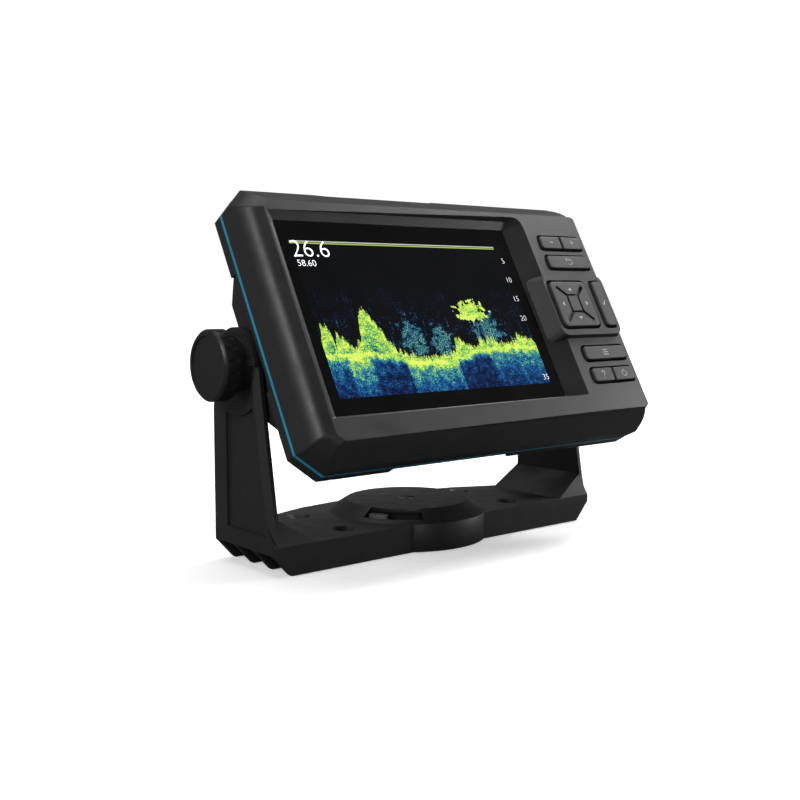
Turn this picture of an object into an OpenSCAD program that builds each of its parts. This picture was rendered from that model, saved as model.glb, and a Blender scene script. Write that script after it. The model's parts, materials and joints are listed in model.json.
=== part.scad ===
// Chartplotter display: a sealed screen and keypad housing in a tilting bail that turns on a swivel base.
// Frame: origin on the resting surface under the swivel axis, +X to the display's right as a user
// faces it, +Y away from the user, +Z up. The display's own frame lies just under the tilt axis:
// x to the right, y up along its face and z out of its face.

/* [Display housing] */
// Width of the housing at its parting line
body_w = 181.6; // [180:0.1:184]
// Height of the housing above its own origin, along the face
body_up = 59.4; // [58.5:0.1:61]
// Depth of the housing below its own origin, along the face
body_down = 55.1; // [54.5:0.1:56]
// Cut across the corners at the parting line
corner_cut = 9; // [7:0.5:10]
// Distance of the parting line in front of the housing's origin
part_z = 26.6; // [26:0.1:27]
// Wall thickness of the rear housing
wall = 2.4; // [2:0.1:2.6]

/* [Front face] */
// Front of the cover glass, in front of the housing's origin
glass_z = 40.6; // [40.4:0.1:40.8]
// Front of the ring round the glass
ring_z = 42; // [41.8:0.1:42.4]
// Front of the keypad panel
panel_z = 44.6; // [44.2:0.1:45]
// Front of the raised pad round the arrow key
pad_z = 46.8; // [46.4:0.1:47.2]

/* [Screen] */
// Width of the lit picture
picture_w = 108; // [107:0.1:109]
// Height of the lit picture
picture_h = 64.8; // [64:0.1:65.2]
// Centre of the picture left of the tilt axis's middle
picture_left = 20.9; // [20.5:0.1:21.3]

/* [Keys] */
// Width of the opening for a wide key
key_w = 26.5; // [26:0.1:27]
// Height of the opening for a wide key
key_h = 6.9; // [6.4:0.1:7.2]
// Gap round a key in its opening
key_gap = 0.35; // [0.3:0.05:0.4]
// How far a key stands above its panel
key_rise = 1; // [0.6:0.1:1.2]

/* [Tilt mount] */
// Lean of the display from upright
rest_tilt = 29; // [20:1:40]
// Height of the tilt axis
pivot_z = 78; // [77.5:0.1:78.5]
// Height of the housing's origin
face_z = 76.3; // [76:0.1:77]
// Distance of the tilt axis in front of the swivel axis
pivot_front = 2; // [1:0.1:3]
// Width across the outside of the bail's arms
bail_w = 172.8; // [172:0.1:173]
// Thickness of an arm
arm_t = 3.2; // [3:0.1:3.3]
// Radius of an arm's round head
head_r = 14.1; // [14:0.1:14.6]
// Radius of a knob
knob_r = 13.6; // [13:0.1:14.5]
// Thickness of a knob
knob_t = 7.8; // [7.5:0.1:9]
// Length of a knob's collar
collar_t = 3; // [2.5:0.1:3.5]

/* [Bail base] */
// Top of the bail's base plate
plate_z = 11.7; // [11.5:0.1:12]
// Top of the round dome over the swivel base
dome_z = 16.5; // [16.2:0.1:17]
// Radius of the dome's flat top
dome_r = 26; // [25.5:0.1:27]
// Radius of the round hub of the base plate
hub_r = 34.3; // [34:0.1:35]
// Front of the bail, in front of the swivel axis
bail_front = 28.1; // [27.5:0.1:28.5]
// Back of the arms, behind the swivel axis
bail_back = 14.1; // [13.9:0.1:14.5]
// Spacing of the bail's screw holes across the width
hole_dx = 91; // [88:0.5:94]
// Spacing of the bail's screw holes front to back
hole_dy = 31.8; // [31:0.1:33]

/* [Swivel base] */
// Radius of the swivel base's disc
base_r = 30.4; // [29.5:0.1:30.5]
// Pitch circle radius of the swivel base's screw holes
base_pcr = 20.5; // [20:0.1:21]

/* [Hidden] */
$fn = 64;
eps = 0.01;
skin = 0.1;

// Housing outline
half_w = body_w / 2;
bezel_z = part_z + 0.7;
rear_z = part_z - 0.7;
flange_z = part_z - 5;
tub_half = 82;
tub_back_z = -6;
tub_step_z = 4;
// Tub's bottom and top at the flange and at the step, and its half sizes at the back
tub_mouth = [-50, 54];
tub_step = [-28, 29];
tub_back = [60, 22];
// Plan sections of the bezel: height, left, right, bottom, top, left and right corner cuts
bezel_sections = [
    [bezel_z, -half_w, half_w, -body_down, body_up, corner_cut, corner_cut],
    [31, -half_w + 0.8, half_w - 0.8, -body_down + 0.5, body_up, corner_cut - 1, 4],
    [37, -half_w + 2.3, half_w - 2.3, -body_down + 3.2, body_up - 5.4, corner_cut - 3, 2],
    [ring_z - skin, -half_w + 6.8, half_w - 5.6, -body_down + 6.9, body_up - 10.8, 3, 1.5]];
// Recesses in the rim where a cover clips on: ends of the slope, far end, depths at top and bottom
notch = [-48.5, -43, 13, 1.5, 1];
// Window: left, right, bottom, top at the glass
window = [-79.2, 39.1, -38.5, 40.8];
glass_t = 1.8;
glue_t = 0.4;
ledge_t = 2;
ledge_z = glass_z - glass_t - glue_t - ledge_t;

// Screen module
lcd_w = 120.7;
lcd_h = 75.8;
lcd_t = 3;
frame_t = 4;
picture_y = 0.4;

// Keys: centre x, centre y, opening width, opening height, panel height
key_x = 68.2;
row_y = [32.6, 22.8, -21.7, -32];
split = 1;
dpad_size = [23.8, 22.5];
dpad_at = [58.6, 0.9];
mark_size = [6.8, 22.5];
mark_at = [77.4, 0.9];
key_flange = 1.2;
key_foot_z = 41;
ball_r = 4;
keypad_area = [47.2, 81.8, -41, 42.5];
mat_z = 37.9;
mat_t = 1.9;
board_t = 1.6;

// Tilt joint
stud_r = 4;
stud_from = 72;
stud_bore_r = 4.05;
insert_r = 6;
insert_len = 12;
insert_x = 76;
lug_r = 9.5;
lug_len = 16;
lug_x = 74;
axis_up = (pivot_z - face_z) * cos(rest_tilt);
axis_out = (pivot_z - face_z) * sin(rest_tilt);
arm_out = bail_w / 2;
arm_in = arm_out - arm_t;
collar_in = arm_out + 1.2;
collar_r = 10.5;
knob_in = collar_in + collar_t;
washer_r = 11;
washer_t = 1.1;
washer_gap = 0.05;
knob_web = 2;
flute_r = 1;
flute_t = 0.15;

// Case and board screws
case_screw_x = [-62, 0, 62];
case_screw_y = [47, -45];
case_shank_r = 1.5;
case_head_r = 3.1;
case_seat_z = 20;
case_post_r = 4.4;
post_at = [[-70, 30], [70, 30], [-70, -30], [70, -30]];
post_r = 3.2;
board_screw_r = 1.2;
main_board_z = 22;
beeper_z = 16.8;
socket_at = [-20, 20];
socket_bore_r = 6;
socket_r = 8;

// Swivel joint
floor_gap = 0.3;
base_t = 4.6;
base_hole_r = 2.3;
swivel_shank_r = 2;
spigot_r = 9.95;
spigot_bore_r = 10;
spigot_z = 12.4;
cap_z = 12.9;
screw_seat_z = 14.6;
cavity_r = 31;
cavity_z = 5.6;
moat_z = 8.2;
moat_out = 31.5;
moat_in = 23.5;
moat_from = 196;
moat_to = 243;
latch_az = 206;
latch_at = 28;
latch_r = 2.6;
latch_half = 1.5;
tongue_end = 15.2;
rib_t = 2.8;
bay_x = 36.5;
end_rib = [60, 62.5];
hole_r = 2.6;
sink_r = 5;
sink_t = 2.4;
rim_t = 1.9;
chamfer_out = [7.5, 8.4];
chamfer_in = [16, 9.6];
// Panel let into an arm's outer face, and the bevel on its front edge
panel_t = 1;
panel_back = 5;
panel_foot = 15;
panel_arc = 19.5;
bevel_back = 3.3;
bevel_in = 1.5;

module in_display() {
    translate([0, -pivot_front, face_z]) rotate([90 - rest_tilt, 0, 0]) children();
}

// Places a part turned about X at the tilt axis, in the display's own frame
module on_axis(x) {
    translate([x, axis_up, axis_out]) rotate([0, 90, 0]) children();
}

module slab(z0, z1) {
    translate([0, 0, z0]) linear_extrude(z1 - z0) children();
}

// Rectangle between two corners with its corners cut by c, or by d at the right
module cut_plate(x0, x1, y0, y1, c, d = undef) {
    r = is_undef(d) ? c : d;
    polygon([[x0, y0 + c], [x0 + c, y0], [x1 - r, y0], [x1, y0 + r],
        [x1, y1 - r], [x1 - r, y1], [x0 + c, y1], [x0, y1 - c]]);
}

// The housing's outline at the parting line, drawn in by d
module outline(d) {
    cut_plate(-half_w + d, half_w - d, -body_down + d, body_up - d, corner_cut - 0.4 * d);
}

module top_notch(z0, z1) {
    slab(z0, z1) polygon([[notch[0], body_up], [notch[1], body_up - notch[3]],
        [notch[2], body_up - notch[3]], [notch[2], body_up + 1], [notch[0], body_up + 1]]);
}

module box_at(x0, x1, y0, y1, z0, z1) {
    translate([x0, y0, z0]) cube([x1 - x0, y1 - y0, z1 - z0]);
}

// Rectangle about the origin with round corners
module round_rect(w, h, r) {
    square([w - 2 * r, h], center = true);
    square([w, h - 2 * r], center = true);
    for (x = [-1, 1], y = [-1, 1])
        translate([x * (w / 2 - r), y * (h / 2 - r)]) circle(r, $fn = 32);
}

module key_holes() {
    for (y = row_y) translate([key_x, y, 0]) slab(40, 50) round_rect(key_w, key_h, 1.2);
    translate([dpad_at[0], dpad_at[1], 0]) slab(40, 50) round_rect(dpad_size[0], dpad_size[1], 2.5);
    translate([mark_at[0], mark_at[1], 0]) slab(40, 50) round_rect(mark_size[0], mark_size[1], 1.2);
}

module front_bezel() {
    color("#2e2f31") in_display() difference() {
        union() {
            difference() {
                union() {
                    hull() for (s = bezel_sections)
                        slab(s[0], s[0] + skin) cut_plate(s[1], s[2], s[3], s[4], s[5], s[6]);
                    // The bands above and below the glass rise evenly to the keypad panel
                    hull() {
                        slab(ring_z - 1, ring_z - skin)
                            cut_plate(-half_w + 7, half_w - 5.6, -48, 48.4, 3, 1.5);
                        slab(panel_z - skin, panel_z) cut_plate(47, half_w - 6.8, -48.2, 47, 0.5, 1);
                    }
                }
                // Chamfer round the glass, and the long slope up to the keypad panel
                hull() {
                    slab(glass_z - skin, glass_z)
                        cut_plate(window[0], window[1], window[2], window[3], 0.1);
                    slab(ring_z, ring_z + skin) cut_plate(-81.8, 42.6, -40, 44.9, 0.1);
                }
                hull() {
                    slab(ring_z, ring_z + skin) cut_plate(-81.8, 42.6, -40, 44.9, 0.1);
                    slab(panel_z, panel_z + skin) cut_plate(-81.8, 48.6, -40, 44.9, 0.1);
                }
            }
            hull() {
                slab(glass_z + skin, glass_z + 2 * skin) cut_plate(39.3, half_w - 5.4, -15.4, 16.8, 2);
                slab(pad_z - skin, pad_z) cut_plate(45.2, half_w - 7.6, -13.6, 15.2, 2);
            }
        }
        // Glass recess and the opening behind the glass
        box_at(window[0], window[1], window[2], window[3], glass_z - glass_t - glue_t, glass_z + eps);
        box_at(-77, 35.4, -34.6, 36.2, ledge_z - 1, glass_z);
        // Inside of the housing
        hull() {
            slab(bezel_z - 1, bezel_z) outline(5);
            slab(ledge_z - skin, ledge_z) cut_plate(-84.6, 84.6, -46, 48.5, 3);
        }
        box_at(46.6, 82.4, -43, 45, ledge_z - 1, key_foot_z + 1.4);
        box_at(45.4, 60, -12.6, 14.2, ledge_z - 1, key_foot_z + 1.4);
        key_holes();
        top_notch(bezel_z - 1, 37);
    }
    color("#2e2f31") in_display() for (x = case_screw_x, y = case_screw_y)
        translate([x, y, 0]) difference() {
            slab(bezel_z + 0.1, ledge_z + eps) circle(3.6);
            slab(bezel_z, 35) circle(case_shank_r);
        }
}

module trim_stripe() {
    color("#2f87a3") in_display() slab(rear_z, bezel_z) difference() {
        outline(0);
        outline(2.2);
        projection() top_notch(0, 1);
    }
}

module case_gasket() {
    color("#1d1d1d") in_display() slab(rear_z, bezel_z) difference() {
        outline(2.4);
        outline(4.6);
    }
}

module cover_glass() {
    color("#0b0c0e") in_display()
        box_at(window[0] + 0.1, window[1] - 0.1, window[2] + 0.1, window[3] - 0.1,
            glass_z - glass_t, glass_z);
}

module glass_adhesive() {
    color("#151515") in_display() difference() {
        box_at(window[0] + 0.3, window[1] - 0.3, window[2] + 0.3, window[3] - 0.3,
            glass_z - glass_t - glue_t, glass_z - glass_t);
        box_at(-76.8, 35.2, -34.4, 36, 0, glass_z);
    }
}

module lcd_panel() {
    color("#10243a") in_display() translate([-picture_left, picture_y, ledge_z - lcd_t]) {
        slab(0, lcd_t - 0.3) square([lcd_w, lcd_h], center = true);
        slab(lcd_t - 0.3, lcd_t) square([picture_w, picture_h], center = true);
    }
}

module lcd_frame() {
    color("#9fa3a6") in_display() translate([-picture_left, picture_y, ledge_z - lcd_t - frame_t])
        difference() {
            slab(0, frame_t) square([lcd_w, lcd_h], center = true);
            slab(1, frame_t + 1) square([lcd_w - 2, lcd_h - 2], center = true);
        }
}

module backlight_plate() {
    color("#e8ecee") in_display() translate([-picture_left, picture_y, ledge_z - lcd_t - frame_t])
        slab(1, frame_t) square([lcd_w - 2.4, lcd_h - 2.4], center = true);
}

module heat_spreader() {
    color("#b9bcbe") in_display() difference() {
        box_at(-76, 34, -32, 33, 28.2, ledge_z - lcd_t - frame_t);
        for (x = [-60, 0, 20]) translate([x, 0, 20]) cylinder(r = 4, h = 20);
    }
}

module main_board() {
    color("#1e6a3c") in_display() difference() {
        box_at(-75, 75, -39, 38, main_board_z, main_board_z + board_t);
        for (p = post_at) translate([p[0], p[1], main_board_z - 1]) cylinder(r = 1.6, h = 4);
    }
}

module board_screws() {
    color("#c9ccce") in_display() for (p = post_at) translate([p[0], p[1], main_board_z + board_t]) {
        difference() {
            cylinder(r = 2.8, h = 1.7);
            translate([0, 0, 0.8]) cylinder(r = 1.3, h = 2, $fn = 6);
        }
        translate([0, 0, -7]) cylinder(r = board_screw_r, h = 7 + eps);
    }
}

module shield_can() {
    color("#c4c7c9") in_display() difference() {
        box_at(-32, 14, -24, 20, 17.4, main_board_z);
        box_at(-31.6, 13.6, -23.6, 19.6, 17.8, main_board_z + 1);
    }
}

module gps_antenna() {
    color("#b58a4a") in_display() box_at(48, 64, 20, 36, main_board_z + board_t, 28.6);
}

module beeper() {
    color("#1b1b1c") in_display() translate([52, -20, beeper_z]) difference() {
        cylinder(r = 6, h = main_board_z - beeper_z);
        translate([0, 0, -1]) cylinder(r = 1, h = 2);
    }
}

module keypad_sheet(z0, z1) {
    box_at(keypad_area[0], keypad_area[1], keypad_area[2], keypad_area[3], z0, z1);
}

module keypad_board() {
    color("#1e6a3c") in_display() keypad_sheet(mat_z - board_t, mat_z);
}

module keypad_mat() {
    color("#3a3b3d") in_display() difference() {
        keypad_sheet(mat_z, mat_z + mat_t);
        translate([dpad_at[0], dpad_at[1], mat_z - 1]) cylinder(r = ball_r + 0.4, h = 5);
    }
}

module tub_step_plate(d) {
    slab(tub_step_z + d, tub_step_z + d + skin)
        cut_plate(-tub_half + d, tub_half - d, tub_step[0] + 0.6 * d, tub_step[1] - 0.6 * d, 4);
}

// Outside of the rear housing's tub, or its inside when drawn in by d with its mouth lifted
module tub(d, lift) {
    hull() {
        slab(flange_z + lift, flange_z + lift + skin)
            cut_plate(-tub_half + d, tub_half - d, tub_mouth[0] + d, tub_mouth[1] - d, 6);
        tub_step_plate(d);
    }
    hull() {
        tub_step_plate(d);
        slab(tub_back_z + d, tub_back_z + d + skin)
            cut_plate(-tub_back[0] + d, tub_back[0] - d, -tub_back[1] + d, tub_back[1] - d, 4);
    }
}

module rear_housing() {
    color("#28292b") in_display() difference() {
        union() {
            difference() {
                union() {
                    slab(flange_z, rear_z) outline(0);
                    tub(0, 0);
                }
                tub(wall, wall);
                slab(flange_z + wall, rear_z + 1) outline(5);
            }
            for (s = [-1, 1]) on_axis(s * lug_x) cylinder(r = lug_r, h = lug_len, center = true);
            for (x = case_screw_x, y = case_screw_y) translate([x, y, 0])
                slab(16, bezel_z) circle(case_post_r);
            for (p = post_at) translate([p[0], p[1], 0]) slab(8, main_board_z) circle(post_r);
        }
        // Scallops in the flange beside the arms' heads
        for (s = [-1, 1]) translate([s * half_w, 0, 0])
            box_at(-6, 6, -20, 27, flange_z - 1, flange_z + 2.6);
        top_notch(flange_z - 1, rear_z + 1);
        box_at(notch[0], notch[2], -body_down - 1, -body_down + notch[4], flange_z - 1, rear_z + 1);
        for (s = [-1, 1]) on_axis(s * insert_x)
            cylinder(r = insert_r, h = insert_len + 1, center = true);
        for (x = case_screw_x, y = case_screw_y) translate([x, y, 0]) {
            slab(15, case_seat_z) circle(case_head_r + 0.2);
            slab(15, 30) circle(case_shank_r + 0.2);
        }
        for (p = post_at) translate([p[0], p[1], 14]) cylinder(r = board_screw_r, h = 10);
        for (x = socket_at) translate([x, 0, -10]) cylinder(r = socket_r, h = 12);
        translate([0, -14, -10]) cylinder(r = 3.5, h = 8);
    }
}

module pivot_inserts() {
    color("#c9a24b") in_display() for (s = [-1, 1]) on_axis(s * insert_x)
        difference() {
            cylinder(r = insert_r, h = insert_len, center = true);
            cylinder(r = stud_bore_r, h = 20, center = true);
        }
}

module socket(x) {
    color("#141516") in_display() translate([x, 0, 0]) difference() {
        union() {
            slab(-8.5, tub_back_z) circle(10.5);
            slab(tub_back_z - eps, 3) circle(socket_r);
        }
        slab(-9.5, 0.5) circle(socket_bore_r);
        for (a = [45 : 90 : 315]) rotate([0, 0, a]) translate([3, 0, 0]) slab(0, 2) circle(0.8);
    }
}

module power_socket() socket(socket_at[0]);

module transducer_socket() socket(socket_at[1]);

module vent_plug() {
    color("#55585a") in_display() translate([0, -14, 0]) {
        slab(-7, tub_back_z) circle(4.6);
        slab(tub_back_z - eps, -3.8) circle(3.5);
    }
}

module case_screws() {
    color("#8d9193") in_display() for (x = case_screw_x, y = case_screw_y) translate([x, y, 0]) {
        difference() {
            slab(case_seat_z - 2.4, case_seat_z) circle(case_head_r);
            slab(16, 18.8) circle(1.4, $fn = 6);
        }
        slab(case_seat_z - eps, 34) circle(case_shank_r);
    }
}

module key_cap(w, h, r, top_z) {
    slab(key_foot_z, key_foot_z + key_flange) round_rect(w + 0.8, h + 0.8, r);
    slab(key_foot_z, top_z) round_rect(w - 2 * key_gap, h - 2 * key_gap, r);
}

module wide_key(y) {
    color("#5a5b5e") in_display() translate([key_x, y, 0])
        key_cap(key_w, key_h, 1.2, panel_z + key_rise);
}

// Half of a wide key: side is -1 for the left half and 1 for the right one
module half_wide_key(y, side) {
    color("#5a5b5e") in_display() translate([key_x, y, 0]) intersection() {
        key_cap(key_w, key_h, 1.2, panel_z + key_rise);
        translate([side * (split / 2 + 20), 0, 40]) cube([40, 20, 30], center = true);
    }
}

module key_minus() half_wide_key(row_y[0], -1);

module key_plus() half_wide_key(row_y[0], 1);

module key_back() wide_key(row_y[1]);

module key_menu() wide_key(row_y[2]);

module key_info() half_wide_key(row_y[3], -1);

module key_power() half_wide_key(row_y[3], 1);

module key_mark() {
    color("#5a5b5e") in_display() translate([mark_at[0], mark_at[1], 0])
        key_cap(mark_size[0], mark_size[1], 1.2, pad_z + key_rise);
}

module dpad() {
    color("#5a5b5e") in_display() translate([dpad_at[0], dpad_at[1], 0]) difference() {
        slab(key_foot_z + 0.2, pad_z + key_rise)
            round_rect(dpad_size[0] - 2 * key_gap - 0.2, dpad_size[1] - 2 * key_gap - 0.2, 2.4);
        // Crossed grooves between the four arrows
        for (a = [45 : 90 : 315]) rotate([0, 0, a]) translate([0, -0.5, pad_z + 0.4]) cube([14, 1, 2]);
        slab(pad_z + 0.4, pad_z + 2) square([7, 7], center = true);
        translate([0, 0, key_foot_z]) sphere(ball_r + 0.1);
    }
}

// Ball that the arrow key rocks on, flat where it stands on the keypad board
module dpad_web() {
    color("#3a3b3d") in_display() translate([dpad_at[0], dpad_at[1], 0]) intersection() {
        translate([0, 0, key_foot_z]) sphere(ball_r);
        slab(mat_z + 0.2, key_foot_z + 2 * ball_r) circle(ball_r + 1);
    }
}

module knob(side) {
    color("#242527") translate([side * knob_in, -pivot_front, pivot_z]) rotate([0, side * 90, 0])
        difference() {
            union() {
                cylinder(r = knob_r - 1.4, h = 1.3);
                translate([0, 0, 1.2]) cylinder(r = knob_r, h = knob_t - 2.2);
                translate([0, 0, knob_t - 1]) cylinder(r1 = knob_r, r2 = knob_r - 1, h = 1);
                translate([0, 0, -collar_t]) cylinder(r = collar_r, h = collar_t + 1);
            }
            // Shallow dish in the outer face, grip flutes, and the blind hole for the stud
            translate([0, 0, knob_t - 0.5]) cylinder(r = knob_r - 2.4, h = 1);
            for (a = [0 : 20 : 340]) rotate([0, 0, a]) translate([knob_r + flute_r - flute_t, 0, 2])
                cylinder(r = flute_r, h = knob_t - 4.4, $fn = 16);
            translate([0, 0, -collar_t - 1])
                cylinder(r = stud_r, h = knob_t - knob_web + collar_t + 1);
        }
}

module stud(side) {
    color("#b7babd") translate([side * stud_from, -pivot_front, pivot_z]) rotate([0, side * 90, 0])
        cylinder(r = stud_r, h = knob_in + knob_t - knob_web - stud_from);
}

module thrust_washer(side) {
    color("#9a9da0") translate([side * (arm_out + washer_gap), -pivot_front, pivot_z])
        rotate([0, side * 90, 0]) difference() {
            cylinder(r = washer_r, h = washer_t);
            translate([0, 0, -1]) cylinder(r = stud_r + 0.1, h = 4);
        }
}

module knob_left() knob(-1);

module knob_right() knob(1);

module stud_left() stud(-1);

module stud_right() stud(1);

module thrust_washer_left() thrust_washer(-1);

module thrust_washer_right() thrust_washer(1);

module arm_washers() {
    color("#17181a") for (s = [-1, 1])
        translate([s * arm_in, -pivot_front, pivot_z]) rotate([0, -s * 90, 0]) difference() {
            cylinder(r = 13, h = 1);
            translate([0, 0, -1]) cylinder(r = stud_r + 0.3, h = 4);
        }
}

// Front view of the bail: two arms on a base, with the corners cut outside and filled inside
module bail_front_view() {
    polygon([[-arm_out + chamfer_out[0], floor_gap], [arm_out - chamfer_out[0], floor_gap],
        [arm_out, chamfer_out[1]], [arm_out, 100], [arm_in, 100], [arm_in, plate_z + chamfer_in[1]],
        [arm_in - chamfer_in[0], plate_z], [-arm_in + chamfer_in[0], plate_z],
        [-arm_in, plate_z + chamfer_in[1]], [-arm_in, 100], [-arm_out, 100],
        [-arm_out, chamfer_out[1]]]);
}

// Side view of an arm: upright at the back, leaning at the front, round at the head
module bail_side_view() {
    polygon([[-bail_front, 0], [bail_back, 0], [bail_back, 60], [head_r - pivot_front, pivot_z],
        [-head_r - pivot_front, pivot_z], [-26, 20], [-bail_front, plate_z]]);
    translate([-pivot_front, pivot_z]) circle(head_r);
}

module bail_plan() {
    circle(hub_r);
    for (s = [0, 1]) mirror([s, 0]) polygon([[0, -bail_front], [70, -bail_front], [74, bail_back - 0.1],
        [50, 25.5], [33, 30.5], [0, hub_r - 0.3]]);
}

// Strip along a front edge of the side view, from 1 mm ahead of it to v and w behind its two ends
module edge_strip(from, to, v, w) {
    polygon([[from[0] - 1, from[1]], [to[0] - 1, to[1]], [to[0] + w, to[1]], [from[0] + v, from[1]]]);
}

// What is cut from an arm's outer face at the right
module arm_relief() {
    foot = [-bail_front, plate_z];
    knee = [-26, 20];
    top = [-head_r - pivot_front, pivot_z];
    // The bevel fades out between the knee and the foot
    for (e = [[foot, knee, 0], [knee, top, bevel_back]]) hull() {
        translate([arm_out - bevel_in, 0, 0]) rotate([90, 0, 90]) linear_extrude(eps)
            edge_strip(e[0], e[1], 0, 0);
        translate([arm_out, 0, 0]) rotate([90, 0, 90]) linear_extrude(eps)
            edge_strip(e[0], e[1], e[2], bevel_back);
    }
    translate([arm_out - panel_t, 0, 0]) rotate([90, 0, 90]) linear_extrude(panel_t + 1) difference() {
        polygon([[-bail_front + 6, panel_foot], [panel_back, panel_foot], [panel_back, pivot_z],
            [top[0] + 5, pivot_z], [knee[0] + 5, knee[1]]]);
        translate([-pivot_front, pivot_z]) circle(panel_arc);
    }
}

module sector(r, from, to) {
    polygon(concat([[0, 0]], [for (i = [0 : 8]) r * [cos(from + i * (to - from) / 8),
        sin(from + i * (to - from) / 8)]]));
}

module bail_bracket() {
    bay = (bail_front + bail_back - 4 * rib_t) / 3;
    color("#26272a") difference() {
        union() {
            intersection() {
                translate([0, 50, 0]) rotate([90, 0, 0]) linear_extrude(100) bail_front_view();
                translate([-100, 0, 0]) rotate([90, 0, 90]) linear_extrude(200) bail_side_view();
            }
            slab(floor_gap, plate_z) bail_plan();
            translate([0, 0, plate_z - eps])
                cylinder(r1 = hub_r - 0.6, r2 = dome_r, h = dome_z - plate_z + eps, $fn = 96);
        }
        for (s = [0, 1]) mirror([s, 0, 0]) arm_relief();
        // Moat under the front of the dome's rim
        difference() {
            slab(moat_z, dome_z - rim_t) intersection() {
                circle(moat_out);
                sector(2 * moat_out, moat_from, moat_to);
            }
            translate([0, 0, moat_z - 1]) cylinder(r = moat_in, h = 10);
        }
        slab(dome_z - 2, dome_z + 1) intersection() {
            difference() {
                circle(moat_out);
                circle(dome_r);
            }
            sector(2 * moat_out, moat_from, moat_to);
        }
        // Room for the swivel base and its spigot
        slab(-1, cavity_z) circle(cavity_r);
        difference() {
            slab(cavity_z - eps, cap_z) circle(moat_in - 1.5);
            slab(cavity_z - 1, cap_z + 1) circle(13);
        }
        slab(-1, cap_z) circle(spigot_bore_r);
        slab(cap_z - 1, dome_z + 1) circle(2.1);
        slab(screw_seat_z, dome_z + 1) circle(3.6);
        // Slot for the latch's tongue
        rotate([0, 0, latch_az]) box_at(15, 26, -2.2, 2.2, 9, 12.6);
        // Pockets between the ribs under the base, open at the cut corners
        for (s = [0, 1], i = [0 : 2]) mirror([s, 0, 0]) difference() {
            box_at(bay_x, 90, -bail_front + rib_t + i * (bay + rib_t),
                -bail_front + (i + 1) * (bay + rib_t), -1, chamfer_out[1]);
            for (y = [-1, 1]) translate([hole_dx / 2, y * hole_dy / 2, -2]) cylinder(r = 7, h = 20);
            box_at(end_rib[0], end_rib[1], -50, 50, -2, 20);
        }
        // Countersunk screw holes
        for (x = [-1, 1], y = [-1, 1]) translate([x * hole_dx / 2, y * hole_dy / 2, 0]) {
            slab(-1, plate_z + 1) circle(hole_r);
            translate([0, 0, plate_z - sink_t]) cylinder(r1 = hole_r, r2 = sink_r, h = sink_t + eps);
        }
        // Stud holes in the arms' heads
        translate([0, -pivot_front, pivot_z]) rotate([0, 90, 0])
            cylinder(r = stud_r + 0.3, h = 200, center = true);
    }
}

module swivel_base() {
    color("#202123") difference() {
        union() {
            cylinder(r = base_r, h = base_t, $fn = 96);
            cylinder(r = spigot_r, h = spigot_z);
        }
        for (a = [45 : 90 : 315]) rotate([0, 0, a]) translate([base_pcr, 0, 0]) {
            slab(-1, base_t + 1) circle(base_hole_r);
            translate([0, 0, base_t - 2]) cylinder(r1 = base_hole_r, r2 = 4.3, h = 2 + eps);
        }
        slab(3, spigot_z + 1) circle(swivel_shank_r);
        slab(-1, 2) circle(7);
    }
}

module swivel_washer() {
    color("#b7babd") slab(spigot_z, cap_z - 0.1) difference() {
        circle(8);
        circle(2.1);
    }
}

module swivel_screw() {
    color("#6d7073") difference() {
        union() {
            slab(screw_seat_z + 0.1, dome_z - 0.3) circle(3.4);
            slab(3.6, screw_seat_z + 0.2) circle(swivel_shank_r);
        }
        slab(dome_z - 1.4, dome_z) circle(1.5, $fn = 6);
    }
}

module swivel_latch() {
    color("#6f7174") rotate([0, 0, latch_az]) {
        slab(moat_z + 0.2, moat_z + 6) hull() for (y = [-1, 1])
            translate([latch_at, y * latch_half]) circle(latch_r);
        box_at(tongue_end, latch_at, -2, 2, 9.2, 12.4);
    }
}

swivel_base();
swivel_screw();
swivel_washer();
bail_bracket();
arm_washers();
swivel_latch();
front_bezel();
trim_stripe();
case_gasket();
cover_glass();
glass_adhesive();
lcd_panel();
lcd_frame();
backlight_plate();
heat_spreader();
main_board();
board_screws();
shield_can();
gps_antenna();
beeper();
keypad_board();
keypad_mat();
rear_housing();
pivot_inserts();
power_socket();
transducer_socket();
vent_plug();
case_screws();
dpad_web();
dpad();
key_minus();
key_plus();
key_back();
key_mark();
key_menu();
key_info();
key_power();
knob_left();
stud_left();
thrust_washer_left();
knob_right();
stud_right();
thrust_washer_right();
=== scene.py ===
"""Chartplotter display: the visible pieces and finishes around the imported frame.

The housing's pieces are drawn in the display's own frame, in millimetres: u to the right, v up the
face and w out of the face, with zero just under the tilt axis. The rest is in the row frame.
"""
import json
import math

import bmesh
import bpy
from mathutils import Matrix, Vector


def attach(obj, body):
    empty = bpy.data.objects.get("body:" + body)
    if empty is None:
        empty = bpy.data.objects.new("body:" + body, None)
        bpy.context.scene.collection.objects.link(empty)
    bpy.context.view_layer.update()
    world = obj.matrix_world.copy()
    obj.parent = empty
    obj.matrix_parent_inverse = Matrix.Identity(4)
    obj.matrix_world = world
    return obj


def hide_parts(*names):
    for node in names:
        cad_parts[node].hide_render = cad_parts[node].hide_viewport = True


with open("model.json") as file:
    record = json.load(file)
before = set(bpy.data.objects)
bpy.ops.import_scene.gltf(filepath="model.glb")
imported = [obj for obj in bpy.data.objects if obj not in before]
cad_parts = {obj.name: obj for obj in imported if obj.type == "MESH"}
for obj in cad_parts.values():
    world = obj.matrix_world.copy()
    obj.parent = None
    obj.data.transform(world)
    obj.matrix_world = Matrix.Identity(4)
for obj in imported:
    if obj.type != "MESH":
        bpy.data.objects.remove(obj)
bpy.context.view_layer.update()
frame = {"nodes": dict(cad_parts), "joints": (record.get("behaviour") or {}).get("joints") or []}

MM = 0.001
NODES = frame["nodes"]
JOINTS = {j["name"]: j for j in frame["joints"]}

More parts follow.
